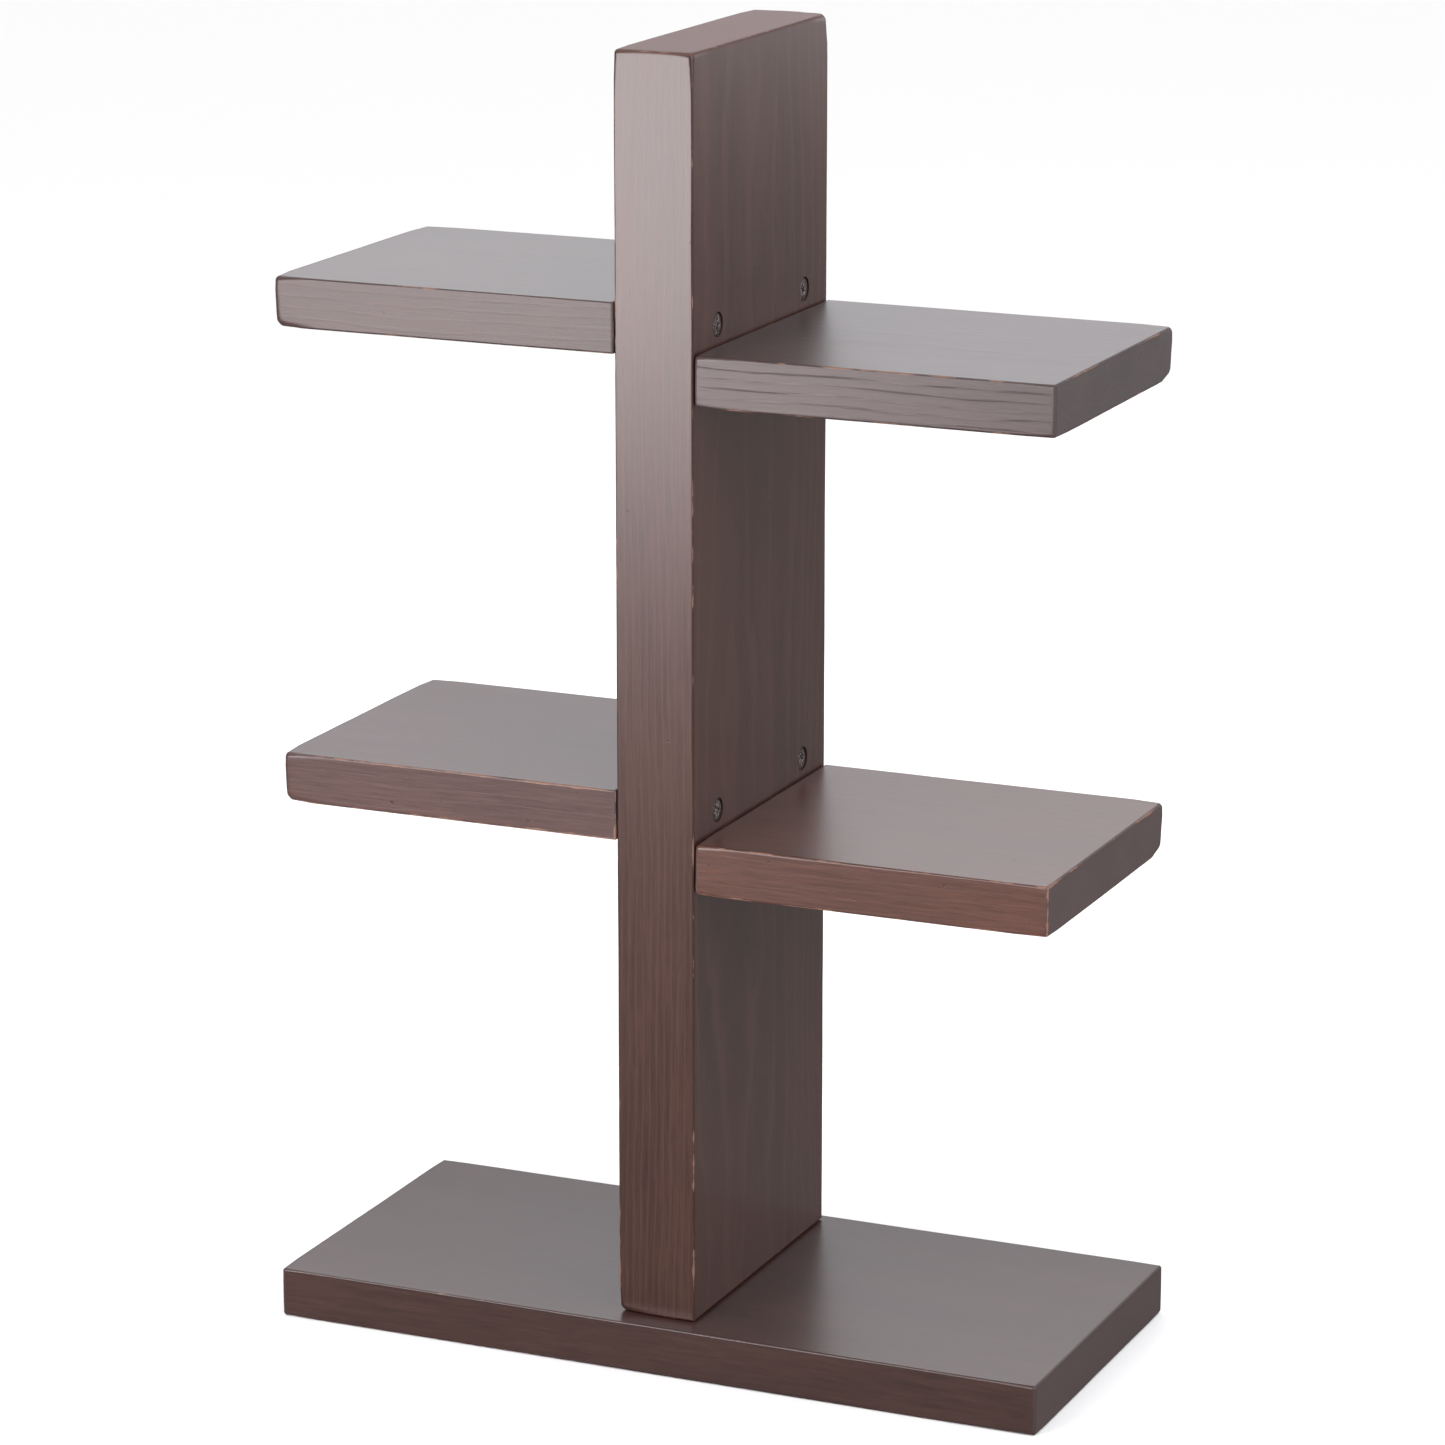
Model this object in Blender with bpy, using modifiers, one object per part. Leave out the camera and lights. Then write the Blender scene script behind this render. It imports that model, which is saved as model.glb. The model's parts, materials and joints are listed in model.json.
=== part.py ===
"""Mug tree: a base board, one upright board and four shelves screwed to its two sides.

Frame: metres, +Z up. The origin is the middle of the base's underside, +X runs along the
base and -Y is the front. Every board keeps a small gap to the boards that it meets.
"""
import math

import bpy

# --- driving dimensions (metres) ---------------------------------------------------------
BASE_LENGTH = 0.300
BASE_DEPTH = 0.135
BASE_THICKNESS = 0.0185

BOARD_DEPTH = 0.121          # the upright and the shelves are cut from one width
BOARD_FRONT = -0.0578        # Y of their front edges, set back from the base's front
UPRIGHT_THICKNESS = 0.030
UPRIGHT_TOP = 0.480
UPRIGHT_CENTRE_X = -0.0009

SHELF_LENGTH = 0.1338
SHELF_THICKNESS = 0.0185
LOWER_SHELF_Z = 0.1804       # underside of the lower right shelf
TIER_RISE = 0.1762           # from one tier to the next
LEFT_STEP = 0.0166           # the left shelves sit this much higher than the right ones

GAP = 0.0003                 # clearance between pieces that meet
EDGE_RADIUS = 0.0012         # eased edges of every board
EDGE_SEGMENTS = 3

SHELF_SCREW_INSET = 0.0215   # from the front edge and from the back edge
SHELF_SCREW_LENGTH = 0.060
BASE_SCREW_INSET = 0.0250
BASE_SCREW_LENGTH = 0.050
SCREW_HEAD_RADIUS = 0.0042
SCREW_HEAD_HEIGHT = 0.0031
SCREW_SHANK_RADIUS = 0.0018
SCREW_TIP_LENGTH = 0.0055
SCREW_SINK = 0.0004          # how far the head lies below the wood
SCREW_SIDES = 24
RECESS_WIDTH = 0.0044
RECESS_SLOT = 0.0011
RECESS_DEPTH = 0.0016

# --- places worked out from the dimensions -----------------------------------------------
BOARD_BACK = BOARD_FRONT + BOARD_DEPTH
BOARD_MIDDLE_Y = (BOARD_FRONT + BOARD_BACK) / 2
UPRIGHT_LEFT = UPRIGHT_CENTRE_X - UPRIGHT_THICKNESS / 2
UPRIGHT_RIGHT = UPRIGHT_CENTRE_X + UPRIGHT_THICKNESS / 2
UPRIGHT_BOTTOM = BASE_THICKNESS + GAP

# name: (side, height of the underside); side -1 is left and +1 is right
SHELVES = {
    "shelf_upper_left": (-1, LOWER_SHELF_Z + TIER_RISE + LEFT_STEP),
    "shelf_upper_right": (1, LOWER_SHELF_Z + TIER_RISE),
    "shelf_lower_left": (-1, LOWER_SHELF_Z + LEFT_STEP),
    "shelf_lower_right": (1, LOWER_SHELF_Z),
}
SCREW_ROWS = {
    "front": BOARD_FRONT + SHELF_SCREW_INSET,
    "back": BOARD_BACK - SHELF_SCREW_INSET,
}
BASE_SCREWS = {
    "front": BOARD_FRONT + BASE_SCREW_INSET,
    "middle": BOARD_MIDDLE_Y,
    "back": BOARD_BACK - BASE_SCREW_INSET,
}

WOOD = {"colour": (0.075, 0.048, 0.040, 1.0), "roughness": 0.42, "metallic": 0.0}
STEEL = {"colour": (0.060, 0.050, 0.048, 1.0), "roughness": 0.38, "metallic": 1.0}


def clear_scene():
    for old in list(bpy.data.objects):
        bpy.data.objects.remove(old, do_unlink=True)


def make_collection(name):
    collection = bpy.data.collections.new(name)
    bpy.context.scene.collection.children.link(collection)
    return collection


def make_material(name, finish):
    material = bpy.data.materials.new(name)
    material.use_nodes = True
    shader = material.node_tree.nodes["Principled BSDF"]
    shader.inputs["Base Color"].default_value = finish["colour"]
    shader.inputs["Roughness"].default_value = finish["roughness"]
    shader.inputs["Metallic"].default_value = finish["metallic"]
    return material


def move_to(collection, piece):
    for owner in list(piece.users_collection):
        owner.objects.unlink(piece)
    collection.objects.link(piece)


def make_board(name, size, centre, collection):
    """A sawn board: a cube at its real size, with the edges eased."""
    bpy.ops.mesh.primitive_cube_add(size=1.0, location=centre)
    board = bpy.context.object
    board.name = name
    board.scale = size
    bpy.ops.object.transform_apply(location=False, rotation=False, scale=True)
    board.data.materials.append(make_material(name + "_wood", WOOD))
    easing = board.modifiers.new("Eased edges", "BEVEL")
    easing.width = EDGE_RADIUS
    easing.segments = EDGE_SEGMENTS
    move_to(collection, board)
    return board


def screw_profile(length, grow):
    """Radius and height down a countersunk screw, from its head at Z = 0 to its tip."""
    head = SCREW_HEAD_RADIUS + grow
    shank = SCREW_SHANK_RADIUS + grow
    return [
        (head, 0.0),
        (head, -0.0003),
        (shank, -SCREW_HEAD_HEIGHT),
        (shank, -(length - SCREW_TIP_LENGTH)),
    ]


def turned(name, profile, collection):
    """Turn a profile of (radius, height) points about Z; both ends close on the axis."""
    top = profile[0][1]
    points = [(0.0, 0.0, top)]
    points += [(radius, 0.0, height) for radius, height in profile]
    edges = [(index, index + 1) for index in range(len(points) - 1)]
    mesh = bpy.data.meshes.new(name)
    mesh.from_pydata(points, edges, [])
    piece = bpy.data.objects.new(name, mesh)
    collection.objects.link(piece)
    turn = piece.modifiers.new("Turned", "SCREW")
    turn.steps = SCREW_SIDES
    turn.render_steps = SCREW_SIDES
    turn.use_merge_vertices = True
    turn.merge_threshold = 0.00001
    return piece


def make_bore(name, length, place, turn, cutters):
    """A cutter for the hole round one screw, a little larger than the screw all over."""
    profile = screw_profile(length, GAP)
    profile = [(profile[0][0], 0.002)] + profile
    profile.append((0.0, -(length + GAP)))
    bore = turned(name, profile, cutters)
    bore.location = place
    bore.rotation_euler = turn
    bore.hide_render = True
    bore.display_type = "WIRE"
    return bore


def make_recess(name, place, turn, cutters):
    """Two crossed slots that cut the driver's cross into a screw head."""
    slots = []
    for index, angle in enumerate((0.0, math.pi / 2)):
        bpy.ops.mesh.primitive_cube_add(size=1.0)
        slot = bpy.context.object
        slot.name = f"{name}_{index}"
        slot.scale = (RECESS_WIDTH, RECESS_SLOT, 2 * RECESS_DEPTH)
        slot.rotation_euler = (0.0, 0.0, angle)
        bpy.ops.object.transform_apply(location=False, rotation=True, scale=True)
        slot.location = place
        slot.rotation_euler = turn
        slot.hide_render = True
        slot.display_type = "WIRE"
        move_to(cutters, slot)
        slots.append(slot)
    return slots


def cut(piece, cutter):
    difference = piece.modifiers.new("Cut " + cutter.name, "BOOLEAN")
    difference.operation = "DIFFERENCE"
    difference.solver = "EXACT"
    difference.object = cutter


def make_screw(name, length, place, turn, boards, parts, cutters):
    """A countersunk wood screw, its head at place, and the hole for it in each board."""
    profile = screw_profile(length, 0.0)
    profile.append((0.0, -length))
    screw = turned(name, profile, parts)
    screw.location = place
    screw.rotation_euler = turn
    screw.data.materials.append(make_material(name + "_steel", STEEL))
    screw.modifiers["Turned"].use_smooth_shade = True
    for slot in make_recess(name + "_recess", place, turn, cutters):
        cut(screw, slot)
    bore = make_bore(name + "_bore", length, place, turn, cutters)
    for board in boards:
        cut(board, bore)
    return screw


def make_shelf(name, side, underside, collection):
    inner = UPRIGHT_RIGHT if side > 0 else UPRIGHT_LEFT
    centre_x = inner + side * (GAP + SHELF_LENGTH / 2)
    centre = (centre_x, BOARD_MIDDLE_Y, underside + SHELF_THICKNESS / 2)
    return make_board(name, (SHELF_LENGTH, BOARD_DEPTH, SHELF_THICKNESS), centre, collection)


def build():
    clear_scene()
    parts = make_collection("mug_tree")
    cutters = make_collection("cutters")

    base = make_board(
        "base_board",
        (BASE_LENGTH, BASE_DEPTH, BASE_THICKNESS),
        (0.0, 0.0, BASE_THICKNESS / 2),
        parts,
    )
    upright_height = UPRIGHT_TOP - UPRIGHT_BOTTOM
    upright = make_board(
        "upright_board",
        (UPRIGHT_THICKNESS, BOARD_DEPTH, upright_height),
        (UPRIGHT_CENTRE_X, BOARD_MIDDLE_Y, UPRIGHT_BOTTOM + upright_height / 2),
        parts,
    )

    for shelf_name, (side, underside) in SHELVES.items():
        shelf = make_shelf(shelf_name, side, underside, parts)
        # a shelf's screws are driven through the upright from its other face
        head_x = UPRIGHT_LEFT if side > 0 else UPRIGHT_RIGHT
        turn = (0.0, -side * math.pi / 2, 0.0)
        for row, y in SCREW_ROWS.items():
            place = (head_x + side * SCREW_SINK, y, underside + SHELF_THICKNESS / 2)
            name = shelf_name.replace("shelf", "screw") + "_" + row
            make_screw(name, SHELF_SCREW_LENGTH, place, turn, (upright, shelf), parts, cutters)

    for row, y in BASE_SCREWS.items():
        # the base's screws are driven up from its underside into the upright's end
        place = (UPRIGHT_CENTRE_X, y, SCREW_SINK)
        name = "screw_base_" + row
        turn = (math.pi, 0.0, 0.0)
        make_screw(name, BASE_SCREW_LENGTH, place, turn, (base, upright), parts, cutters)


build()
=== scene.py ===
# %% [markdown]
# # A mug tree of stained boards
# The stand is a base board, one tall upright and four short shelves, screwed together and
# stained dark brown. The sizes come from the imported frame, so the first step loads it and keeps
# its outer box. Every later step builds one kind of piece or one finish on top of that frame.

# %% Load the frame
import json
import math

import bmesh
import bpy
from mathutils import Matrix, Vector, noise

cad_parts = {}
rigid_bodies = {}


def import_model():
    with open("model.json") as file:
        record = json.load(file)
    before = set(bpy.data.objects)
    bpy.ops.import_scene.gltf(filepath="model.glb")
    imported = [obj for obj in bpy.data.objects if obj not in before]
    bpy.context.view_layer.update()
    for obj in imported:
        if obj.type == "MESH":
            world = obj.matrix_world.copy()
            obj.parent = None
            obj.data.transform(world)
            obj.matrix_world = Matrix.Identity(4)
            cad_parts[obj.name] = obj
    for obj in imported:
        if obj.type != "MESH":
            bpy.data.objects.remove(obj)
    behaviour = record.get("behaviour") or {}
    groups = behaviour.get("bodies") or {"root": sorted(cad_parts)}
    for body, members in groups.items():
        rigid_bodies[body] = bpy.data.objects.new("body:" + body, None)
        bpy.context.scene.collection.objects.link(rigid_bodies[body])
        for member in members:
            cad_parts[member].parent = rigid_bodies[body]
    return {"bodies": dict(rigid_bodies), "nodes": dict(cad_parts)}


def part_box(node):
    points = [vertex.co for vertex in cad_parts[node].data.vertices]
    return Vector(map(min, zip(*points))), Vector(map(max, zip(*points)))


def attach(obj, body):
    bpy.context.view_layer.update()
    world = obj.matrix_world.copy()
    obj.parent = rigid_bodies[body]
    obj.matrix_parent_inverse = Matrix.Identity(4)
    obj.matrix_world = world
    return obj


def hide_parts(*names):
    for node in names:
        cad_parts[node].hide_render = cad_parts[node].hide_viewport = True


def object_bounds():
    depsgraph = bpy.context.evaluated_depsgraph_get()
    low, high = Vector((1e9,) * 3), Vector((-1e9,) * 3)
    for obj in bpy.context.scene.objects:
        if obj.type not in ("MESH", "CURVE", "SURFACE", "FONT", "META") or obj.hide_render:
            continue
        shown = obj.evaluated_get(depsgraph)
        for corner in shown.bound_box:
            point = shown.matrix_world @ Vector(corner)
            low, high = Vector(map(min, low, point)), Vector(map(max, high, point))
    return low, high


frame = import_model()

cad_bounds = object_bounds()
cad_low, cad_high = (Vector(corner) for corner in cad_bounds)
BODY = next(iter(frame["bodies"]))
print("frame:", len(frame["nodes"]), "nodes on body", BODY, "height", round(cad_high.z, 4))

# %% [markdown]
# ## Which board is which
# Wood is strong along its grain, so a maker runs the grain along each board's length: along X in
# the base and the shelves, and along Z in the upright. Each board was sawn from another place in
# a log, so each gets its own distance from the log's heart (the pith). That one choice decides
# whether a face shows straight lines, wide arches or the curved ends of the growth rings.

# %% List the boards
GRAIN_X, GRAIN_Z = 0, 2

# grain: the axis it runs along; pith: where the log's heart lies, from the board's middle; ring:
# width of one year's growth; stain and end: the tones of its faces and of its cut ends; lacquer:
# its roughness; bands: how clearly its rings show; pores: how open its grain is; wear: how much
# its edges are rubbed (these three from 0 to 1)
BOARDS = {
    "base_board": dict(
        grain=GRAIN_X, pith=(0.0, 0.012, -0.085), ring=0.0040, seed=1.3, lacquer=0.29,
        stain=(0.0430, 0.0215, 0.0178), end=(0.0560, 0.0360, 0.0340), bands=0.15, pores=0.05, wear=0.00,
    ),
    "upright_board": dict(
        grain=GRAIN_Z, pith=(-0.140, -0.020, 0.0), ring=0.0027, seed=4.1, lacquer=0.295,
        stain=(0.0470, 0.0200, 0.0145), end=(0.1100, 0.0440, 0.0350), bands=0.50, pores=0.05, wear=0.36,
    ),
    "shelf_upper_left": dict(
        grain=GRAIN_X, pith=(0.0, 0.030, -0.120), ring=0.0030, seed=7.7, lacquer=0.36,
        stain=(0.0460, 0.0232, 0.0200), end=(0.0560, 0.0420, 0.0400), bands=0.30, pores=0.15, wear=0.25,
    ),
    "shelf_upper_right": dict(
        grain=GRAIN_X, pith=(0.0, -0.020, 0.095), ring=0.0030, seed=2.9, lacquer=0.36,
        stain=(0.0440, 0.0238, 0.0228), end=(0.0590, 0.0460, 0.0450), bands=0.35, pores=0.80, wear=0.42,
    ),
    "shelf_lower_left": dict(
        grain=GRAIN_X, pith=(0.0, 0.060, 0.105), ring=0.0024, seed=9.2, lacquer=0.34,
        stain=(0.0700, 0.0335, 0.0285), end=(0.0560, 0.0420, 0.0400), bands=0.16, pores=0.35, wear=0.85,
    ),
    "shelf_lower_right": dict(
        grain=GRAIN_X, pith=(0.0, -0.015, -0.080), ring=0.0030, seed=5.6, lacquer=0.31,
        stain=(0.0790, 0.0315, 0.0215), end=(0.0570, 0.0400, 0.0385), bands=0.25, pores=0.30, wear=0.50,
    ),
}
SCREWS = sorted(name for name in frame["nodes"] if name.startswith("screw_"))

for board_name in BOARDS:
    board_low, board_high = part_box(board_name)
    print(board_name, [round(side * 1000, 1) for side in board_high - board_low], "mm")
print(len(SCREWS), "screws")

# %% [markdown]
# ## Shader maths written as Python
# A node material is a sum on wires, and it is hard to read when every sum is a node made by
# hand. The small class below wraps an output socket. `1 - mask` or `distance / ring` then adds
# the right Math node by itself, because Python calls the class's own `__rsub__` or `__truediv__`.


# %% A socket that can be added, multiplied and eased
class Wire:
    """An output socket that takes part in Python sums."""

    def __init__(self, finish, socket):
        self.finish = finish
        self.socket = socket

    def math(self, operation, *values):
        inputs = dict(enumerate(values))
        return self.finish.node("ShaderNodeMath", {"operation": operation}, inputs)

    def __add__(self, other):
        return self.math("ADD", self, other)

    def __sub__(self, other):
        return self.math("SUBTRACT", self, other)

    def __rsub__(self, other):
        return self.math("SUBTRACT", other, self)

    def __mul__(self, other):
        return self.math("MULTIPLY", self, other)

    def __truediv__(self, other):
        return self.math("DIVIDE", self, other)

    def __pow__(self, other):
        return self.math("POWER", self, other)

    def __abs__(self):
        return self.math("ABSOLUTE", self)

    __radd__ = __add__
    __rmul__ = __mul__

    def smaller(self, other):
        return self.math("MINIMUM", self, other)

    def larger(self, other):
        return self.math("MAXIMUM", self, other)

    def fraction(self):
        return self.math("FRACT", self)

    def root(self):
        return self.math("SQRT", self)

    def eased(self, start, end, low=0.0, high=1.0):
        """A smooth step: low up to start, high from end on."""
        inputs = {"Value": self, "From Min": start, "From Max": end, "To Min": low, "To Max": high}
        return self.finish.node("ShaderNodeMapRange", {"interpolation_type": "SMOOTHSTEP"}, inputs)


# %% [markdown]
# ## A material under construction
# Everything that isn't a plain sum comes from one method, `node`. It sets a node's settings first
# and its sockets afterwards, since a setting such as a data type can change which sockets there
# are. The other methods are short names for the few nodes that every finish here needs.

# %% A finish and the nodes that it is made of
# the Mix node keeps one set of sockets for each data type; these are the ones for colours
MIX_FIRST, MIX_SECOND, MIX_RESULT = 6, 7, 2


class Finish:
    """A material under construction, around its Principled shader."""

    def __init__(self, name):
        self.material = bpy.data.materials.new(name)
        self.material.use_nodes = True
        self.tree = self.material.node_tree
        self.shader = self.tree.nodes["Principled BSDF"]

    def node(self, kind, settings=None, inputs=None, output=0):
        """Add a node and return one of its outputs."""
        made = self.tree.nodes.new(kind)
        for setting, value in (settings or {}).items():
            setattr(made, setting, value)
        self.fill(made, inputs or {})
        return Wire(self, made.outputs[output])

    def fill(self, node, inputs):
        for key, value in inputs.items():
            if isinstance(value, Wire):
                self.tree.links.new(value.socket, node.inputs[key])
            else:
                node.inputs[key].default_value = value

    def object_point(self):
        """The point being shaded, in the object's own metres."""
        return self.node("ShaderNodeTexCoord", output="Object")

    def split(self, vector):
        """The X, Y and Z parts of a vector."""
        separate = self.node("ShaderNodeSeparateXYZ", inputs={"Vector": vector}).socket.node
        return [Wire(self, separate.outputs[axis]) for axis in range(3)]

    def mix_colour(self, amount, low, high):
        """The colour low where amount is 0, and high where it is 1."""
        inputs = {"Factor": amount, MIX_FIRST: low, MIX_SECOND: high}
        return self.node("ShaderNodeMix", {"data_type": "RGBA"}, inputs, MIX_RESULT)

    def cloud(self, point, scale, detail=2.0, rough=0.5, shift=(0.0, 0.0, 0.0)):
        """Smooth noise from 0 to 1; scale is features per metre along X, Y and Z."""
        inputs = {"Vector": point, "Location": shift, "Scale": scale}
        placed = self.node("ShaderNodeMapping", inputs=inputs)
        inputs = {"Vector": placed, "Scale": 1.0, "Detail": detail, "Roughness": rough}
        return self.node("ShaderNodeTexNoise", inputs=inputs)

    def surface(self, **inputs):
        """Set the Principled shader's sockets; an underscore in a name stands for a space."""
        self.fill(self.shader, {key.replace("_", " "): value for key, value in inputs.items()})
        return self.material


print("shader helpers ready")

# %% [markdown]
# ## Where the boards are rubbed
# On a sanded and stained board the edges tell most of the story: sanding cuts through the stain
# there, so a thin tan line runs along an edge, broken where the stain held. A point on a board is
# near an edge when it is close to two faces at once. The smallest of its three distances to the
# faces is about zero on the surface, and the second smallest is its distance to the nearest edge.


# %% Distance to the nearest edge of a board
def edge_distance(point_parts, low, high):
    """How far a point on a board's surface is from the board's nearest edge, in metres."""
    depths = []
    for part, start, end in zip(point_parts, low, high):
        middle = (start + end) / 2
        depths.append((end - start) / 2 - abs(part - middle))
    first, second, third = depths
    return first.smaller(second).larger(first.larger(second).smaller(third))


# %% [markdown]
# ## Stained wood
# The pattern starts from the tree: rings are shells round the pith, so the distance to the pith
# line, bent a little by noise, is cut into rings. Part of each ring takes less stain and shows as
# a pale line, and in open-grained boards short dark dashes, the pores, hold more of it. Long thin
# noise along the grain adds the fibres. The same solid pattern gives straight lines on one face,
# arches on another and ring ends on the third, so no face needs a drawing of its own.

# %% Build the wood finish for one board
STAIN_PORE = (0.0100, 0.0052, 0.0045, 1.0)
RUBBED_TAN = (0.230, 0.1180, 0.0800, 1.0)
DARK_SHARE = (0.74, 0.74, 0.76)
WARM_SHARE = (1.26, 1.22, 1.18)
PALE_SHARE = (1.50, 1.50, 1.50)

# how fast each noise changes, in features per metre: along the grain, across it
BEND_RATE = (5.0, 22.0)
RIPPLE_RATE = (30.0, 110.0)
FIBRE_RATE = (45.0, 1150.0)
FINE_RATE = (120.0, 2600.0)
DASH_RATE = (42.0, 1200.0)
PATCH_RATE = (9.0, 38.0)
PIT_RATE = (330.0, 330.0)
BREAKUP_RATE = (60.0, 60.0)

# depths and widths, in metres
BEND_WIDTH = 0.010
RIPPLE_WIDTH = 0.0018
FILLED_DEPTH = (0.0002, 0.0009)
END_DEPTH = (0.0005, 0.0014)
RUB_WIDTH = 0.00018
RUB_SWING = 0.0040
RUB_WEAR = 0.0009
RUB_FADE = (-0.00012, 0.00016)
# the band beside each edge that is painted darker: painted shade of the rounded edge, together with
# settled stain
EDGE_SHADE_AND_STAIN_BAND = (0.0005, 0.0013)
GRAIN_RELIEF = 0.00011


def tinted(tone, share):
    """A tone made darker or lighter, channel by channel."""
    return tuple(part * factor for part, factor in zip(tone, share)) + (1.0,)


def tapered(phase, rise, fall):
    """A band inside each ring that comes in over rise and goes out over fall."""
    return phase.eased(*rise) * (1.0 - phase.eased(*fall))


def depth_below(parts, low, high, axis):
    """How far a point lies under the nearer of the two faces that cross an axis."""
    middle = (low[axis] + high[axis]) / 2
    return (high[axis] - low[axis]) / 2 - abs(parts[axis] - middle)


def stained_wood(name, low, high, grain, pith, ring, seed, lacquer, stain, end, bands, pores, wear):
    """The wood of one board, cut from its own place in a log."""
    finish = Finish(name)
    point = finish.object_point()
    parts = finish.split(point)
    shift = (seed, seed * 1.7, seed * 2.3)
    middle = (low + high) / 2

    def grain_cloud(rate, detail, rough):
        along, across = rate
        scale = [across, across, across]
        scale[grain] = along
        return finish.cloud(point, scale, detail, rough, shift)

    # the rings: distance from the pith line, bent by slow noise, counted in ring widths
    bend = grain_cloud(BEND_RATE, 2.0, 0.45)
    ripple = grain_cloud(RIPPLE_RATE, 2.0, 0.5)
    across = [axis for axis in range(3) if axis != grain]
    squares = [(parts[axis] - (middle[axis] + pith[axis])) ** 2.0 for axis in across]
    straight = (squares[0] + squares[1]).root()
    distance = straight + (bend - 0.5) * BEND_WIDTH + (ripple - 0.5) * RIPPLE_WIDTH
    phase = (distance / ring).fraction()
    late = tapered(phase, (0.58, 0.84), (0.88, 1.0))

    # fibres, open pores, small pits and slow patches where the stain took more or less
    fibre = grain_cloud(FIBRE_RATE, 3.0, 0.6)
    fine = grain_cloud(FINE_RATE, 2.0, 0.6)
    dash = grain_cloud(DASH_RATE, 4.0, 0.65)
    patch = grain_cloud(PATCH_RATE, 3.0, 0.55)
    pit = grain_cloud(PIT_RATE, 1.0, 0.5).eased(0.765, 0.80)
    opened = dash.eased(0.42, 0.62) * tapered(phase, (0.60, 0.76), (0.80, 0.94)) * pores

    # the lacquer pools on the two wide faces and fills most of their pores
    thin = min(range(3), key=lambda axis: high[axis] - low[axis])
    opened = opened * depth_below(parts, low, high, thin).eased(*FILLED_DEPTH, 0.15, 1.0)

    dark, warm, pale = (tinted(stain, share) for share in (DARK_SHARE, WARM_SHARE, PALE_SHARE))
    tone = 0.5 + (patch - 0.5) * 0.8 + (fibre - 0.5) * 1.1 + (fine - 0.5) * 0.8
    colour = finish.mix_colour(tone.eased(0.10, 0.90), dark, warm)
    colour = finish.mix_colour(late * bands, colour, pale)
    colour = finish.mix_colour(opened * 0.75 + pit * 0.6, colour, STAIN_PORE)

    # cut ends drink more stain and dry duller
    at_end = 1.0 - depth_below(parts, low, high, grain).eased(*END_DEPTH)
    end_dark, end_warm = (tinted(end, share) for share in (DARK_SHARE, WARM_SHARE))
    end_colour = finish.mix_colour(tone.eased(-0.3, 1.3), end_dark, end_warm)
    colour = finish.mix_colour(at_end * 0.90, colour, end_colour)

    # rubbed edges, broken up so that the line comes and goes, beside a thin darker band: painted shade
    # where the rounded edge turns dark, together with stain settled there
    edge = edge_distance(parts, low, high)
    breakup = grain_cloud(BREAKUP_RATE, 4.0, 0.65)
    reach = (breakup - 0.5) * RUB_SWING + (RUB_WIDTH + (wear - 0.5) * RUB_WEAR)
    rubbed = 1.0 - (edge - reach).eased(*RUB_FADE)
    # painted shade and settled stain: the colour is darkened in a thin band along every edge
    edge_shade_and_stain = (1.0 - edge.eased(*EDGE_SHADE_AND_STAIN_BAND)) * 0.45
    colour = finish.mix_colour(edge_shade_and_stain, colour, dark)
    colour = finish.mix_colour(rubbed * 0.7, colour, RUBBED_TAN)

    rough = lacquer + (fibre - 0.5) * 0.06 + opened * 0.22 + rubbed * 0.10 + at_end * 0.27
    height = fibre * 0.30 + fine * 0.20 + late * (0.5 * bands) - opened * 0.6 - pit * 0.8
    bump_inputs = {"Strength": 0.45, "Distance": GRAIN_RELIEF, "Height": height}
    relief = finish.node("ShaderNodeBump", inputs=bump_inputs)
    return finish.surface(
        Base_Color=colour,
        Roughness=rough,
        Normal=relief,
        Specular_IOR_Level=0.5,
        Coat_Weight=0.0,
    )


wood = {}
for board_name, sawn in BOARDS.items():
    board_low, board_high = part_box(board_name)
    wood[board_name] = stained_wood(board_name + "_stain", board_low, board_high, **sawn)
print("wood finishes:", len(wood))

# %% [markdown]
# ## Boards with eased edges
# A Bevel modifier would round every edge by the same amount, which looks machined. These edges
# were eased by hand with sandpaper, so the rounding should swell and shrink. The board starts as
# a cube that is cut by planes, close together near the edges. Each vertex is then drawn onto a
# rounded edge whose radius depends on where it is, a little like working round with a sanding
# block. Nothing leaves the sawn size.

# %% Sand a board out of a cube
EDGE_CUTS = (0.00012, 0.0003, 0.0005, 0.0007, 0.00095, 0.0013, 0.0018, 0.0025, 0.0035, 0.0050)
FACE_CUT_STEP = 0.006
EDGE_RADIUS = 0.00068
EDGE_SWING = 0.00028
CORNER_REACH = 0.013
SANDING_DIP = 0.00008
DIP_STEEPNESS = 9
SWING_RATE = 38.0
DIP_RATE = 16.0
TINY = 1e-9


def object_from(bm, name):
    """Turn a bmesh into an object in the scene."""
    mesh = bpy.data.meshes.new(name)
    bm.to_mesh(mesh)
    bm.free()
    made = bpy.data.objects.new(name, mesh)
    bpy.context.scene.collection.objects.link(made)
    return made


def cut_places(start, end):
    """Where the cutting planes cross one side of a board."""
    near = [start + cut for cut in EDGE_CUTS]
    far = [end - cut for cut in EDGE_CUTS]
    span = far[-1] - near[-1]
    count = max(1, round(span / FACE_CUT_STEP))
    between = [near[-1] + span * index / count for index in range(1, count)]
    return near + between + far


def cut_all(bm, axis, place):
    """Cut a whole bmesh along a plane across one axis."""
    where = [0.0, 0.0, 0.0]
    where[axis] = place
    facing = [0.0, 0.0, 0.0]
    facing[axis] = 1.0
    everything = bm.verts[:] + bm.edges[:] + bm.faces[:]
    bmesh.ops.bisect_plane(bm, geom=everything, dist=1e-7, plane_co=where, plane_no=facing)


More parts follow.
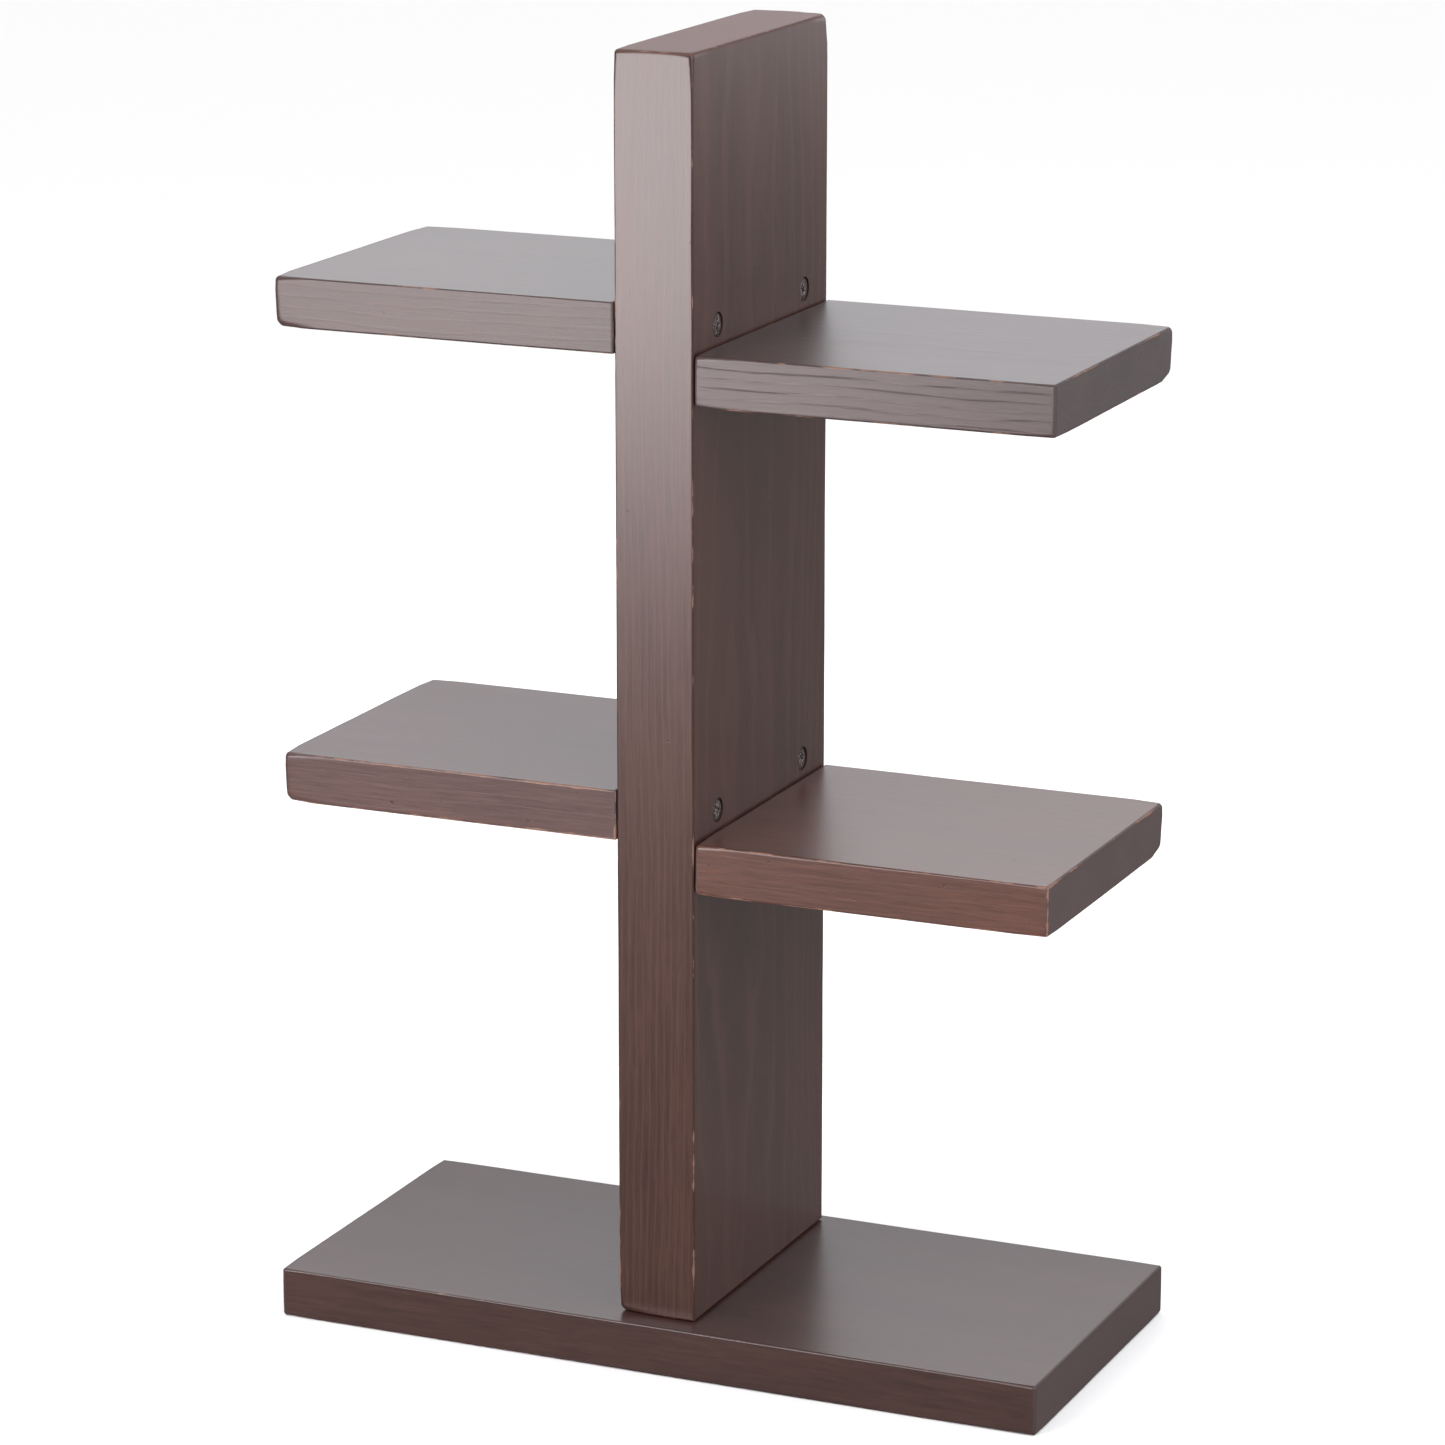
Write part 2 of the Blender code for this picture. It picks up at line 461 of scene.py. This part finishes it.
def edge_radius(point, worn_corners, seed):
    """The rounding at one place: a base radius, a slow swing and the worn corners."""
    radius = EDGE_RADIUS + EDGE_SWING * noise.noise(point * SWING_RATE + Vector((seed, 0.0, seed)))
    for corner, extra in worn_corners:
        share = max(0.0, 1.0 - (point - corner).length / CORNER_REACH)
        radius += extra * share * share * (3 - 2 * share)
    return radius


def sanded(point, low, high, radius):
    """Draw a point of a box's surface onto the same box with rounded edges."""
    inner = Vector(
        min(max(value, start + radius), end - radius)
        for value, start, end in zip(point, low, high)
    )
    outward = point - inner
    if outward.length < TINY:
        return point
    return inner + outward.normalized() * radius


def sand_board(name, low, high, worn_corners, seed):
    """A board at its sawn size, with sanded edges and faces that dip slightly near their middles."""
    bm = bmesh.new()
    size = high - low
    middle = (low + high) / 2
    bmesh.ops.create_cube(bm, size=1.0)
    bmesh.ops.scale(bm, vec=size, verts=bm.verts)
    bmesh.ops.translate(bm, vec=middle, verts=bm.verts)
    for axis in range(3):
        for place in cut_places(low[axis], high[axis]):
            cut_all(bm, axis, place)
    for vert in bm.verts:
        radius = edge_radius(vert.co, worn_corners, seed)
        rounded = sanded(vert.co, low, high, radius)
        dip = 0.5 + 0.5 * noise.noise(vert.co * DIP_RATE + Vector((seed, seed, 0.0)))
        inward = (middle - rounded) * 2
        pull = Vector(inward[axis] / size[axis] for axis in range(3))
        steep = Vector(value ** DIP_STEEPNESS for value in pull)
        vert.co = rounded + steep * SANDING_DIP * dip
    bmesh.ops.recalc_face_normals(bm, faces=bm.faces)
    return object_from(bm, name)


# %% [markdown]
# ## Screws and the holes that they sit in
# A countersunk wood screw is a turned shape, so one outline is spun round an axis. The thread is
# a small triangle that is spun as well, but moves down by a pitch each turn. The screw's hole is
# the same outline, 0.3 mm larger, and it is cut from the boards with a Boolean, so a dark ring
# shows between the head and the wood as it does on the real joint.

# %% Spin an outline round the screw's axis
SPIN_STEPS = 40
HEAD_RADIUS = 0.0042
HEAD_DROP = 0.0031
SHANK_RADIUS = 0.0018
CORE_RADIUS = 0.00135
THREAD_RADIUS = 0.00195
THREAD_PITCH = 0.0018
THREAD_STEPS = 20
PLAIN_SHARE = 0.38
TIP_LENGTH = 0.0055
HOLE_GAP = 0.0003
HOLE_OVERSHOOT = 0.0022
MERGE_DISTANCE = 1e-6
DOWN = Vector((0.0, 0.0, -1.0))


def spin_outline(bm, outline):
    """Turn (radius, height) points once round Z; the first and last lie on the axis."""
    verts = [bm.verts.new((radius, 0.0, height)) for radius, height in outline]
    edges = [bm.edges.new(pair) for pair in zip(verts, verts[1:])]
    bmesh.ops.spin(
        bm,
        geom=verts + edges,
        cent=(0.0, 0.0, 0.0),
        axis=(0.0, 0.0, 1.0),
        angle=2 * math.pi,
        steps=SPIN_STEPS,
        use_merge=True,
    )
    bmesh.ops.remove_doubles(bm, verts=bm.verts, dist=MERGE_DISTANCE)
    bmesh.ops.recalc_face_normals(bm, faces=bm.faces)


def screw_outline(length):
    """Half the outline of a countersunk screw, from its head's middle down to its tip."""
    thread_top = -length * PLAIN_SHARE
    return [
        (0.0, 0.0),
        (HEAD_RADIUS * 0.90, 0.0),
        (HEAD_RADIUS * 0.97, -0.00008),
        (HEAD_RADIUS, -0.00030),
        (HEAD_RADIUS * 0.98, -0.00042),
        (SHANK_RADIUS * 1.12, -HEAD_DROP * 0.96),
        (SHANK_RADIUS, -HEAD_DROP * 1.15),
        (SHANK_RADIUS, thread_top + 0.0012),
        (CORE_RADIUS, thread_top),
        (CORE_RADIUS, -(length - TIP_LENGTH)),
        (CORE_RADIUS * 0.55, -(length - TIP_LENGTH * 0.35)),
        (0.0, -length),
    ]


def hole_outline(length):
    """The cutter's outline: the screw's, a gap larger, and open above the wood."""
    return [
        (0.0, HOLE_OVERSHOOT),
        (HEAD_RADIUS + HOLE_GAP, HOLE_OVERSHOOT),
        (HEAD_RADIUS + HOLE_GAP, -0.0003),
        (SHANK_RADIUS + HOLE_GAP, -HEAD_DROP),
        (SHANK_RADIUS + HOLE_GAP, -(length - TIP_LENGTH)),
        (0.0, -(length + HOLE_GAP)),
    ]


def screw_place(name):
    """The head's middle, the direction from head to tip and the length, read from the frame."""
    low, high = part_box(name)
    middle = (low + high) / 2
    if "base" in name:
        return Vector((middle.x, middle.y, low.z)), Vector((0.0, 0.0, 1.0)), high.z - low.z
    if "left" in name:
        return Vector((high.x, middle.y, middle.z)), Vector((-1.0, 0.0, 0.0)), high.x - low.x
    return Vector((low.x, middle.y, middle.z)), Vector((1.0, 0.0, 0.0)), high.x - low.x


def screw_matrix(name):
    """The move from a screw that hangs down from the origin to its own place."""
    head, towards_tip, _ = screw_place(name)
    turn = DOWN.rotation_difference(towards_tip).to_matrix().to_4x4()
    return Matrix.Translation(head) @ turn


first_head = screw_place(SCREWS[0])[0]
print(SCREWS[0], "head at", [round(value, 4) for value in first_head])

# %% [markdown]
# ## Cutting with a Boolean
# A Boolean modifier compares two closed meshes and keeps what is outside the cutter. It is kept
# on the EXACT solver, and the result is copied out of the modifier stack, so that the finished
# board is plain geometry again and the cutters can be thrown away.


# %% Cut one object with another
def apply_cut(piece, cutter):
    """Cut one object with another, keep the result as a plain mesh and drop the cutter."""
    difference = piece.modifiers.new("Cut", "BOOLEAN")
    difference.operation = "DIFFERENCE"
    difference.solver = "EXACT"
    difference.object = cutter
    evaluated = piece.evaluated_get(bpy.context.evaluated_depsgraph_get())
    finished = bpy.data.meshes.new_from_object(evaluated)
    piece.modifiers.clear()
    rough_mesh = piece.data
    piece.data = finished
    finished.name = piece.name
    bpy.data.meshes.remove(rough_mesh)
    bpy.data.objects.remove(cutter)


def holes_for(names):
    """One object that holds the cutters of several screws, each in its place."""
    bm = bmesh.new()
    for name in names:
        one = bmesh.new()
        spin_outline(one, hole_outline(screw_place(name)[2]))
        one.transform(screw_matrix(name))
        mesh = bpy.data.meshes.new("hole")
        one.to_mesh(mesh)
        one.free()
        bm.from_mesh(mesh)
        bpy.data.meshes.remove(mesh)
    return object_from(bm, "holes")


# %% [markdown]
# ## The six boards
# Corners are knocked and sanded more than the edges between them, so each board has a short list
# of worn corners with a larger radius, and the hidden far ends are worn the most. Then each board
# is drilled for the screws that pass through it and gets its own piece of the log as a finish.

# %% Make, drill and finish the boards
SHARP_ANGLE = math.radians(34)

# which corners of a board are worn, and by how much more than its edges; -1 is the low side of
# an axis and +1 the high side
BASE_CORNERS = {(x, y, z): 0.0005 for x in (-1, 1) for y in (-1, 1) for z in (-1, 1)}
UPRIGHT_CORNERS = {
    (1, 1, 1): 0.0022,
    (-1, 1, 1): 0.0014,
    (-1, -1, 1): 0.0009,
    (1, -1, 1): 0.0012,
    (-1, -1, -1): 0.0016,
}
LEFT_CORNERS = {
    (-1, -1, 1): 0.0014,
    (-1, -1, -1): 0.0024,
    (-1, 1, 1): 0.0014,
    (-1, 1, -1): 0.0024,
}
RIGHT_CORNERS = {
    (1, -1, 1): 0.0004,
    (1, -1, -1): 0.0007,
    (1, 1, 1): 0.0014,
    (1, 1, -1): 0.0036,
    (-1, -1, 1): 0.0010,
    (-1, -1, -1): 0.0008,
}


def worn_corners_of(name, low, high):
    """The worn corners' places, each with its extra rounding."""
    if name == "upright_board":
        chosen = UPRIGHT_CORNERS
    elif name == "base_board":
        chosen = BASE_CORNERS
    else:
        chosen = LEFT_CORNERS if name.endswith("left") else RIGHT_CORNERS
    middle = (low + high) / 2
    half = (high - low) / 2
    return [(middle + half * Vector(sides), extra) for sides, extra in chosen.items()]


def screws_through(name):
    """The screws that pass into a board; all of them end in the upright or start there."""
    if name == "upright_board":
        return SCREWS
    if name == "base_board":
        return [screw for screw in SCREWS if "base" in screw]
    return [screw for screw in SCREWS if name.replace("shelf", "screw") in screw]


def stand_for(piece, node):
    """Put a finished piece on the body, in the CAD node's stead."""
    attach(piece, BODY)
    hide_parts(node)


for board_name, sawn in BOARDS.items():
    board_low, board_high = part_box(board_name)
    corners = worn_corners_of(board_name, board_low, board_high)
    board = sand_board(board_name + "_sanded", board_low, board_high, corners, sawn["seed"])
    apply_cut(board, holes_for(screws_through(board_name)))
    board.data.materials.clear()
    board.data.materials.append(wood[board_name])
    board.data.shade_smooth()
    board.data.set_sharp_from_angle(angle=SHARP_ANGLE)
    stand_for(board, board_name)
    print(board.name, len(board.data.polygons), "faces")

# %% [markdown]
# ## Dark screws
# The screws were stained over with the wood, so they are nearly as dark as it. Only where the
# driver turned in the cross has the coat been scraped back to steel. Those small bright points
# are what makes a screw readable at all. A noise pattern alone can't tell where the recess is, so
# each screw's mesh will carry a value on its vertices, which the finish reads by its name.

# %% Finish of the screws
COAT_DARK = (0.022, 0.0130, 0.0110, 1.0)
COAT_BROWN = (0.046, 0.0260, 0.0210, 1.0)
BARE_STEEL = (0.620, 0.5900, 0.5700, 1.0)
STRIPPED = "stripped"
GRIME_RATE = (420.0, 420.0, 420.0)
SCRAPE_RATE = (1500.0, 1500.0, 1500.0)
COAT_RELIEF = 0.00005


def dark_screw_finish(name):
    """Steel under a dark coat, bare in small spots and inside the recess."""
    finish = Finish(name)
    point = finish.object_point()
    grime = finish.cloud(point, GRIME_RATE, 3.0, 0.6)
    scrape = finish.cloud(point, SCRAPE_RATE, 2.0, 0.5)
    stripped = finish.node("ShaderNodeAttribute", {"attribute_name": STRIPPED}, output="Fac")
    bare = scrape.eased(0.64, 0.72) * 0.4 + scrape.eased(0.46, 0.58) * stripped
    coat = finish.mix_colour(grime.eased(0.35, 0.65), COAT_DARK, COAT_BROWN)
    colour = finish.mix_colour(bare, coat, BARE_STEEL)
    bump_inputs = {"Strength": 0.3, "Distance": COAT_RELIEF, "Height": grime}
    relief = finish.node("ShaderNodeBump", inputs=bump_inputs)
    return finish.surface(
        Base_Color=colour,
        Metallic=0.05 + bare * 0.50,
        Specular_IOR_Level=0.32,
        Roughness=0.46 + grime * 0.25 - bare * 0.16,
        Normal=relief,
    )


screw_finish = dark_screw_finish("dark_screw_coat")
print("finish:", screw_finish.name)

# %% [markdown]
# ## The cross recess
# The recess is a cross of two bars that narrow as they go down. Each bar is a cube with its lower
# end scaled in, and each makes its own cut. Two bars that cross inside one mesh would be a cutter
# that runs through itself, and a Boolean can't tell what is inside such a mesh.

# %% Cutters for the recess
RECESS_REACH = 0.0046
RECESS_ARM = 0.0012
RECESS_DEPTH = 0.0021
RECESS_TAPER = 0.45
RECESS_ARM_TAPER = 0.8


def recess_arm(turn):
    """The cutter for one arm of the cross: a bar that narrows as it goes down."""
    bm = bmesh.new()
    bmesh.ops.create_cube(bm, size=1.0)
    bmesh.ops.scale(bm, vec=(RECESS_REACH, RECESS_ARM, 2 * RECESS_DEPTH), verts=bm.verts)
    deep = [vert for vert in bm.verts if vert.co.z < 0]
    bmesh.ops.scale(bm, vec=(RECESS_TAPER, RECESS_ARM_TAPER, 1.0), verts=deep)
    bmesh.ops.rotate(bm, cent=(0.0, 0.0, 0.0), matrix=Matrix.Rotation(turn, 3, "Z"), verts=bm.verts)
    return object_from(bm, "recess_arm")


def mark_recess(bm):
    """Note on each vertex of a screw how far the driver has stripped its coat."""
    stripped = bm.verts.layers.float.new(STRIPPED)
    for vert in bm.verts:
        near_axis = vert.co.xy.length < RECESS_REACH * 0.56
        if near_axis and vert.co.z > -RECESS_DEPTH * 1.05:
            vert[stripped] = 1.0 if vert.co.z < -RECESS_DEPTH * 0.2 else 0.4


print("recess", RECESS_REACH * 1000, "mm across and", RECESS_DEPTH * 1000, "mm deep")

# %% [markdown]
# ## The thread, and the finished screws
# A thread is a small triangle that turns round the shank and moves down by one pitch each turn.
# It is spun as a closed ridge of its own, with its foot a little inside the shank, and it fades
# out at both ends. Eleven screws are never turned in by the same amount, so each head's cross
# stops at an angle of its own.

# %% Build the screws
THREAD_FOOT = CORE_RADIUS * 0.9
THREAD_HALF_WIDTH = THREAD_PITCH * 0.28
FADE_IN_TURNS = 3
STOP_STEP = 0.77


def add_thread(bm, length):
    """A triangle that turns round the core and moves down one pitch each turn."""
    top = -length * PLAIN_SHARE
    bottom = -(length - TIP_LENGTH * 0.8)
    turns = (top - bottom) / THREAD_PITCH
    section = [
        (THREAD_FOOT, top + THREAD_HALF_WIDTH),
        (THREAD_RADIUS, top),
        (THREAD_FOOT, top - THREAD_HALF_WIDTH),
    ]
    verts = [bm.verts.new((radius, 0.0, height)) for radius, height in section]
    edges = [bm.edges.new((verts[index], verts[(index + 1) % 3])) for index in range(3)]
    steps = round(turns * THREAD_STEPS)
    made = bmesh.ops.spin(
        bm,
        geom=verts + edges,
        cent=(0.0, 0.0, 0.0),
        axis=(0.0, 0.0, 1.0),
        dvec=(0.0, 0.0, (bottom - top) / steps),
        angle=2 * math.pi * turns,
        steps=steps,
    )
    last = [edge for edge in made["geom_last"] if isinstance(edge, bmesh.types.BMEdge)]
    bmesh.ops.contextual_create(bm, geom=edges)
    bmesh.ops.contextual_create(bm, geom=last)
    for vert in bm.verts:
        fade_in = (top - vert.co.z) / (FADE_IN_TURNS * THREAD_PITCH)
        fade_out = (vert.co.z - bottom) / THREAD_PITCH
        share = max(0.0, min(1.0, fade_in, fade_out))
        flat = Vector((vert.co.x, vert.co.y, 0.0))
        wanted = THREAD_FOOT + max(0.0, flat.length - THREAD_FOOT) * share
        vert.co.xy = (flat.normalized() * wanted).xy
    bmesh.ops.recalc_face_normals(bm, faces=bm.faces)


def build_screw(name, stopped_at):
    """A turned and threaded screw in its place, its cross turned to stopped_at."""
    _, _, length = screw_place(name)
    bm = bmesh.new()
    spin_outline(bm, screw_outline(length))
    screw = object_from(bm, name + "_turned")
    for turn in (stopped_at, stopped_at + math.pi / 2):
        apply_cut(screw, recess_arm(turn))
    thread = bmesh.new()
    add_thread(thread, length)
    thread_mesh = bpy.data.meshes.new("thread")
    thread.to_mesh(thread_mesh)
    thread.free()
    whole = bmesh.new()
    whole.from_mesh(screw.data)
    mark_recess(whole)
    whole.from_mesh(thread_mesh)
    whole.transform(screw_matrix(name))
    whole.to_mesh(screw.data)
    whole.free()
    bpy.data.meshes.remove(thread_mesh)
    return screw


for index, screw_name in enumerate(SCREWS):
    screw = build_screw(screw_name, STOP_STEP * index)
    screw.data.materials.clear()
    screw.data.materials.append(screw_finish)
    screw.data.shade_smooth()
    screw.data.set_sharp_from_angle(angle=SHARP_ANGLE)
    stand_for(screw, screw_name)
print("screws built:", len(SCREWS), "with", len(screw.data.polygons), "faces each")

# %% [markdown]
# ## Floor and backdrop
# The stand is shown on white without a horizon, yet dark lacquered wood mirrors whatever stands
# round it, and a white room would turn it grey. So the floor only gives its matt light: mirror
# rays don't see it. A dome behind everything is seen by the camera alone, for the same reason.

# %% Set up the floor and the backdrop
FLOOR_RADIUS = 14.0
FLOOR_BELOW = 0.0002
FLOOR_COLOUR = (0.93, 0.93, 0.93, 1.0)
FLOOR_TINT = (0.90, 0.90, 0.90, 1.0)
FLOOR_RATE = (3.0, 3.0, 3.0)


def pale_floor():
    """A matt white floor. It lights the boards, but they mirror the dim room and not the floor."""
    finish = Finish("pale_floor")
    point = finish.object_point()
    grain = finish.cloud(point, FLOOR_RATE, 2.0, 0.5)
    tint = finish.mix_colour(grain * 0.04, FLOOR_COLOUR, FLOOR_TINT)
    material = finish.surface(Base_Color=tint, Roughness=0.9, Specular_IOR_Level=0.1)
    bm = bmesh.new()
    bmesh.ops.create_circle(bm, cap_ends=True, segments=96, radius=FLOOR_RADIUS)
    bmesh.ops.translate(bm, vec=(0.0, 0.0, cad_low.z - FLOOR_BELOW), verts=bm.verts)
    floor = object_from(bm, "floor")
    floor.data.materials.append(material)
    floor.visible_glossy = False


def white_backdrop():
    """A white dome that only the camera sees, so that the floor has no horizon."""
    finish = Finish("white_backdrop")
    material = finish.surface(
        Base_Color=(0.0, 0.0, 0.0, 1.0),
        Specular_IOR_Level=0.0,
        Emission_Color=(1.0, 1.0, 1.0, 1.0),
        Emission_Strength=1.0,
    )
    bm = bmesh.new()
    bmesh.ops.create_icosphere(bm, subdivisions=4, radius=FLOOR_RADIUS)
    bmesh.ops.reverse_faces(bm, faces=bm.faces)
    dome = object_from(bm, "backdrop")
    dome.data.materials.append(material)
    dome.visible_diffuse = False
    dome.visible_glossy = False
    dome.visible_shadow = False


pale_floor()
white_backdrop()
print("floor and backdrop, radius", FLOOR_RADIUS, "m")

# %% [markdown]
# ## Lights
# A satin board shows mostly what it mirrors, so each light is placed for the faces that it is to
# be seen in. The low softbox at the front left is mirrored in every front edge, more in the high
# ones than in the low ones. The two behind put a grey sheen on the shelf tops and on the right
# side, and the one at the right lights that side. A soft glow from above and a dim, even world
# fill the rest.

# %% Set up the lights
WORLD_STRENGTH = 0.29
CEILING_STRENGTH = 2.4
CEILING_SPREAD = math.radians(100)
COOL_WHITE = (0.945, 0.950, 1.0)
WARM_WHITE = (1.0, 0.945, 0.965)

# glow is how bright a softbox's face looks next to a white wall
SOFTBOXES = {
    "front_left_softbox": dict(
        place=(-0.42, -0.93, 0.335),
        aim=(0.0, 0.0, 0.36),
        size=(0.60, 0.40),
        glow=12.2,
        colour=WARM_WHITE,
    ),
    "back_left_softbox": dict(
        place=(-0.60, 1.37, 0.96),
        aim=(0.0, 0.0, 0.40),
        size=(1.10, 0.75),
        glow=2.0,
        colour=COOL_WHITE,
    ),
    "back_right_softbox": dict(
        place=(0.62, 1.42, 0.62),
        aim=(0.0, 0.0, 0.30),
        size=(0.80, 0.70),
        glow=1.4,
        colour=COOL_WHITE,
    ),
    "right_softbox": dict(
        place=(1.70, -0.50, 0.95),
        aim=(0.0, 0.0, 0.30),
        size=(1.50, 1.30),
        glow=4.0,
        colour=COOL_WHITE,
    ),
}


def look_at(thing, target):
    """Turn a light or a camera towards a place."""
    thing.rotation_euler = (target - thing.location).to_track_quat("-Z", "Y").to_euler()


def softbox(name, place, aim, size, glow, colour):
    """A rectangular light that the camera itself doesn't see."""
    width, height = size
    light = bpy.data.lights.new(name, "AREA")
    light.shape = "RECTANGLE"
    light.size = width
    light.size_y = height
    light.energy = glow * math.pi * width * height
    light.color = colour
    lamp = bpy.data.objects.new(name, light)
    lamp.location = place
    lamp.visible_camera = False
    look_at(lamp, Vector(aim))
    bpy.context.scene.collection.objects.link(lamp)


def ceiling_glow(strength, spread):
    """Even light from the whole ceiling, the same at every place on the floor."""
    light = bpy.data.lights.new("ceiling_glow", "SUN")
    light.energy = strength
    light.angle = spread
    lamp = bpy.data.objects.new("ceiling_glow", light)
    bpy.context.scene.collection.objects.link(lamp)


def dim_world(strength):
    """An even, dim room all round."""
    world = bpy.data.worlds.new("studio")
    world.use_nodes = True
    background = world.node_tree.nodes["Background"]
    background.inputs["Color"].default_value = (1.0, 1.0, 1.0, 1.0)
    background.inputs["Strength"].default_value = strength
    bpy.context.scene.world = world


dim_world(WORLD_STRENGTH)
for light_name, setup in SOFTBOXES.items():
    softbox(light_name, **setup)
ceiling_glow(CEILING_STRENGTH, CEILING_SPREAD)
print("lights:", len(SOFTBOXES) + 1)

# %% [markdown]
# ## Camera
# A long lens from two metres away keeps the boards nearly parallel, with only a little
# perspective. The camera goes round the stand by an angle and up by another, at a fixed distance,
# and looks at a place slightly below the middle of its height.

# %% Set up the camera
CAMERA_AZIMUTH = math.radians(23.64)
CAMERA_HEIGHT_ANGLE = math.radians(14.58)
CAMERA_DISTANCE = 1.9716
CAMERA_LENS = 135.0
CAMERA_REACH = 100.0
AIM_BELOW_MIDDLE = 0.0115


def seen_from(azimuth, elevation):
    """The direction from the object towards the viewer."""
    level = math.cos(elevation)
    return Vector((math.sin(azimuth) * level, -math.cos(azimuth) * level, math.sin(elevation)))


camera_data = bpy.data.cameras.new("camera")
camera_data.lens = CAMERA_LENS
camera_data.clip_end = CAMERA_REACH
camera = bpy.data.objects.new("camera", camera_data)
aim = Vector((0.0, 0.0, (cad_low.z + cad_high.z) / 2 - AIM_BELOW_MIDDLE))
camera.location = aim + seen_from(CAMERA_AZIMUTH, CAMERA_HEIGHT_ANGLE) * CAMERA_DISTANCE
look_at(camera, aim)
bpy.context.scene.collection.objects.link(camera)
bpy.context.scene.camera = camera
bpy.context.scene.view_settings.view_transform = "Standard"
print("camera at", [round(value, 3) for value in camera.location])
